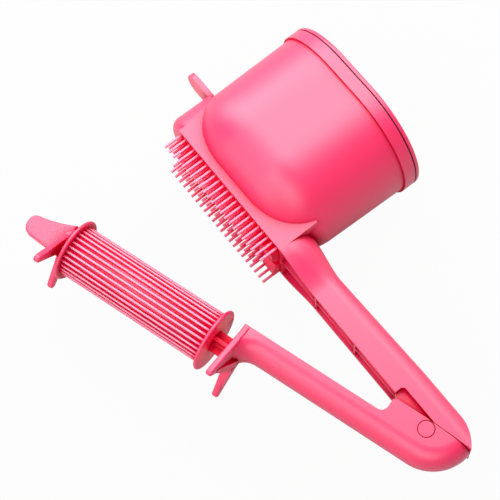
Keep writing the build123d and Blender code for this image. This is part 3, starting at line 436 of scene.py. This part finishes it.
def bristle_tree():
    """Rows of bristles on their strips. Where they follow the roller, outer rows are longer."""
    tree, given, end = new_tree(
        "bristle_rows", Columns="Int", Rows="Int", RowLength="Float", RowPitch="Float",
        FieldWidth="Float", Length="Float", Follow="Float", Roller="Float", Root="Float",
        HalfTip="Float", Taper="Float", Corner="Float", StripLength="Float", StripDepth="Float",
        StripWidth="Float", Middle="Vector", Finish="Material")
    # A rod one metre long, which each root scales to its bristle's length
    rod = rod_along(tree, (0, 0, 0), (0, -1, 0), given["Root"], given["Root"], given["Corner"],
                    given["Taper"])
    roots = node(tree, "GeometryNodeMeshGrid",
                 links={"Size X": given["RowLength"], "Size Y": given["FieldWidth"],
                        "Vertices X": given["Columns"], "Vertices Y": given["Rows"]})
    stood = node(tree, "GeometryNodeTransform",
                 links={"Geometry": roots.outputs["Mesh"], "Rotation": (pi / 2, 0, 0)})
    # A root's z becomes its bristle's length, step by step:
    # length + follow * (roller - sqrt(roller ** 2 - (abs(z) - half_tip) ** 2))
    place = node(tree, "GeometryNodeInputPosition").outputs[0]
    length = node(tree, "ShaderNodeSeparateXYZ", links={0: place}).outputs["Z"]
    square = node(tree, "ShaderNodeMath", {"operation": "POWER"}, {0: given["Roller"], 1: 2.0})
    for operation, value in (
            ("ABSOLUTE", 0.0), ("SUBTRACT", given["HalfTip"]), ("POWER", 2.0), ("MULTIPLY", -1.0),
            ("ADD", square.outputs[0]), ("MAXIMUM", 0.0), ("SQRT", 0.0), ("MULTIPLY", -1.0),
            ("ADD", given["Roller"]), ("MULTIPLY", given["Follow"]), ("ADD", given["Length"])):
        length = node(tree, "ShaderNodeMath", {"operation": operation},
                      {0: length, 1: value}).outputs[0]
    size = node(tree, "ShaderNodeCombineXYZ", links={"X": 1.0, "Y": length, "Z": 1.0})
    bristles = node(tree, "GeometryNodeInstanceOnPoints",
                    links={"Points": stood.outputs[0], "Instance": rod, "Scale": size.outputs[0]})
    # One strip of backing under each row, from the roots up into the plate
    strip_size = node(tree, "ShaderNodeCombineXYZ",
                      links={"X": given["StripLength"], "Y": given["StripDepth"],
                             "Z": given["StripWidth"]})
    strip = node(tree, "GeometryNodeMeshCube", links={"Size": strip_size.outputs[0]})
    step = node(tree, "ShaderNodeCombineXYZ", links={"Z": given["RowPitch"]})
    reach = node(tree, "ShaderNodeCombineXYZ",
                 links={"Y": given["StripDepth"], "Z": given["FieldWidth"]})
    first = node(tree, "ShaderNodeVectorMath", {"operation": "MULTIPLY"},
                 {0: reach.outputs[0], 1: (0.0, 0.5, -0.5)})
    rows = node(tree, "GeometryNodeMeshLine",
                links={"Count": given["Rows"], "Start Location": first.outputs[0],
                       "Offset": step.outputs[0]})
    strips = node(tree, "GeometryNodeInstanceOnPoints",
                  links={"Points": rows.outputs[0], "Instance": strip.outputs["Mesh"]})
    all_parts = node(tree, "GeometryNodeJoinGeometry")
    tree.links.new(bristles.outputs[0], all_parts.inputs[0])
    tree.links.new(strips.outputs[0], all_parts.inputs[0])
    placed = node(tree, "GeometryNodeTransform",
                  links={"Geometry": all_parts.outputs[0], "Translation": given["Middle"]})
    finish_tree(tree, placed.outputs[0], given["Finish"], end)
    return tree


# Moulded nylon is smooth and lets a little light in, so the rods look soft. They are pale at the
# tips, and the deep pink at the roots, where the rods crowd together, is painted shade
nylon = moulded_plastic("moulded_nylon", BRISTLE_PINK, BRISTLE_PAINTED_SHADE, BRISTLE_ROUGHNESS,
                        coat=0.6, edge=BRISTLE_EDGE, milkiness=0.2)
bristle_rows = bristle_tree()
plate_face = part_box("bristle_plate")[0].y
middle_length = ROLLER_DROP - ROLLER_RADIUS - ROLLER_CLEARANCE + PLATE_RECESS
for name, packed, columns, rows, pitch, length, follow in (
        ("outer_rows", "outer_bristles", OUTER_COLUMNS, OUTER_ROWS, OUTER_PITCH,
         OUTER_LENGTH, 0.0),
        ("inner_rows", "inner_bristles", INNER_COLUMNS, INNER_ROWS, INNER_PITCH,
         middle_length, 1.0)):
    low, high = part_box(packed)
    row_length = COLUMN_PITCH * (columns - 1)
    field = made_by(bristle_rows, name, Columns=columns, Rows=rows, RowLength=row_length,
                    RowPitch=pitch, FieldWidth=pitch * (rows - 1), Length=length, Follow=follow,
                    Roller=ROLLER_RADIUS, Root=ROOT_WIDTH, HalfTip=TIP_WIDTH / 2,
                    Taper=TIP_WIDTH / ROOT_WIDTH, Corner=ROD_CORNER,
                    StripLength=row_length + ROOT_WIDTH, StripDepth=STRIP_DEPTH,
                    StripWidth=STRIP_WIDTH, Middle=Vector(((low.x + high.x) / 2, plate_face, 0)),
                    Finish=nylon)
    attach(field, "tank")
    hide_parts(packed)


# Roller arm, axle and end yoke: one handle moulding that flares into the inner yoke, the
# plus-section axle, and the outer yoke with its finger paddle, pushed on the axle. All are
# polished ABS, and the axle has the bristle plate's deeper pink, which is painted shade.
dress(body_abs, "roller_arm", "end_yoke")
dress(shaded_pink_abs, "roller_axle")


# Hinge: a headed ABS pin with a press-on cap, and inside the tongue a torsion spring, close wound
# from bright drawn steel wire, whose turns the tree sweeps round the pin.
WIRE = 0.0012
WIRE_STEPS = 10
COIL_RADIUS = 0.0055
COIL_LENGTH = 0.006
COIL_STEPS = 40


def coil_tree():
    """A close wound coil, which rises along Z from its start."""
    tree, given, end = new_tree(
        "close_coil", Turns="Float", PathRadius="Float", Rise="Float", WireRadius="Float",
        Start="Vector", Finish="Material")
    line = node(tree, "GeometryNodeCurveSpiral",
                links={"Resolution": COIL_STEPS, "Rotations": given["Turns"],
                       "Start Radius": given["PathRadius"], "End Radius": given["PathRadius"],
                       "Height": given["Rise"]})
    section = node(tree, "GeometryNodeCurvePrimitiveCircle", {"mode": "RADIUS"},
                   {"Resolution": WIRE_STEPS, "Radius": given["WireRadius"]})
    wire = node(tree, "GeometryNodeCurveToMesh",
                links={"Curve": line.outputs[0], "Profile Curve": section.outputs[0],
                       "Fill Caps": True})
    placed = node(tree, "GeometryNodeTransform",
                  links={"Geometry": wire.outputs[0], "Translation": given["Start"]})
    finish_tree(tree, placed.outputs[0], given["Finish"], end)
    return tree


dress(body_abs, "hinge_pin", "pin_cap")
low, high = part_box("hinge_spring")
rise = COIL_LENGTH - WIRE
spring = made_by(coil_tree(), "spring_coil", Turns=rise / WIRE, PathRadius=COIL_RADIUS - WIRE / 2,
                 Rise=rise, WireRadius=WIRE / 2, Start=(low + high) / 2 - Vector((0, 0, rise / 2)),
                 Finish=zinc)
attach(spring, "tank")
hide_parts("hinge_spring")


# Roller: a tube with thirty round-crested ribs that grip the hair, between two slit flanges, and
# it turns on the axle's fins. All are polished ABS. The drum's pale pink is painted highlight, and
# its crests catch the lamps as pale lines too; the deep red of the valleys is painted shade.
DRUM_LENGTH = 0.0906
DRUM_WALL = 0.0016
DRUM_STEPS = 120
RIBS = 30
RIB_WIDTH = 0.0013
RIB_DEPTH = 0.0016
RIB_ROUNDING = 0.49
RIB_HIGHLIGHT_PINK = "#FF98B8"
RIB_PAINTED_SHADE = "#E41848"
RIB_ROUGHNESS = 0.32
RIB_EDGE = 0.0001


def ribbed_tree():
    """A tube along X with ribs along it, then turned and moved to its axle."""
    tree, given, end = new_tree(
        "ribbed_tube", Length="Float", TubeRadius="Float", Wall="Float", Ribs="Int",
        Valley="Float", RibWidth="Float", RibHeight="Float", RibCorner="Float", Turn="Vector",
        Middle="Vector", Finish="Material")
    # The tube: a ring path with the wall's rectangle swept round it
    ring = node(tree, "GeometryNodeCurvePrimitiveCircle", {"mode": "RADIUS"},
                {"Resolution": DRUM_STEPS, "Radius": given["TubeRadius"]})
    wall = node(tree, "GeometryNodeCurvePrimitiveQuadrilateral",
                links={"Width": given["Wall"], "Height": given["Length"]})
    tube = node(tree, "GeometryNodeCurveToMesh",
                links={"Curve": ring.outputs[0], "Profile Curve": wall.outputs[0]})
    # A rib: a bar with a round crest, sunk by half its height into the tube
    along = node(tree, "ShaderNodeCombineXYZ", links={"Z": given["Length"]})
    ends = [node(tree, "ShaderNodeVectorMath", {"operation": "SCALE"},
                 {"Vector": along.outputs[0], "Scale": share}) for share in (-0.5, 0.5)]
    rib = rod_along(tree, ends[0].outputs[0], ends[1].outputs[0], given["RibWidth"],
                    given["RibHeight"], given["RibCorner"])
    spots = node(tree, "GeometryNodeCurvePrimitiveCircle", {"mode": "RADIUS"},
                 {"Resolution": given["Ribs"], "Radius": given["Valley"]})
    points = node(tree, "GeometryNodeCurveToPoints", {"mode": "EVALUATED"},
                  {"Curve": spots.outputs[0]})
    place = node(tree, "GeometryNodeInputPosition").outputs[0]
    outward = node(tree, "FunctionNodeAlignRotationToVector", {"axis": "Y", "pivot_axis": "Z"},
                   {"Vector": place})
    ribs = node(tree, "GeometryNodeInstanceOnPoints",
                links={"Points": points.outputs["Points"], "Instance": rib,
                       "Rotation": outward.outputs[0]})
    both = node(tree, "GeometryNodeJoinGeometry")
    tree.links.new(tube.outputs[0], both.inputs[0])
    tree.links.new(ribs.outputs[0], both.inputs[0])
    laid = node(tree, "GeometryNodeTransform",
                links={"Geometry": both.outputs[0], "Rotation": (0, pi / 2, 0)})
    placed = node(tree, "GeometryNodeTransform",
                  links={"Geometry": laid.outputs[0], "Rotation": given["Turn"],
                         "Translation": given["Middle"]})
    finish_tree(tree, placed.outputs[0], given["Finish"], end)
    return tree


# A lit copy of the pink ABS: the pale pink is painted highlight, the valleys' colour painted shade
lit_roller_abs = moulded_plastic("polished_pink_abs_roller_lit", RIB_HIGHLIGHT_PINK, RIB_PAINTED_SHADE, RIB_ROUGHNESS,
                             coat=1.0, edge=RIB_EDGE)
axle = [Vector(joint["axis"]) for joint in frame["joints"] if joint["name"] == "roller_spin"][0]
low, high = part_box("roller_drum")
valley = ROLLER_RADIUS - RIB_DEPTH
ribbed = made_by(ribbed_tree(), "ribbed_drum", Length=DRUM_LENGTH,
                 TubeRadius=valley - DRUM_WALL / 2, Wall=DRUM_WALL, Ribs=RIBS, Valley=valley,
                 RibWidth=RIB_WIDTH, RibHeight=2 * RIB_DEPTH, RibCorner=RIB_ROUNDING * RIB_WIDTH,
                 Turn=Vector((0, 0, atan2(axle.y, axle.x))), Middle=(low + high) / 2,
                 Finish=lit_roller_abs)
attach(ribbed, "roller")
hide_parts("roller_drum")
dress(body_abs, "inner_flange", "outer_flange")
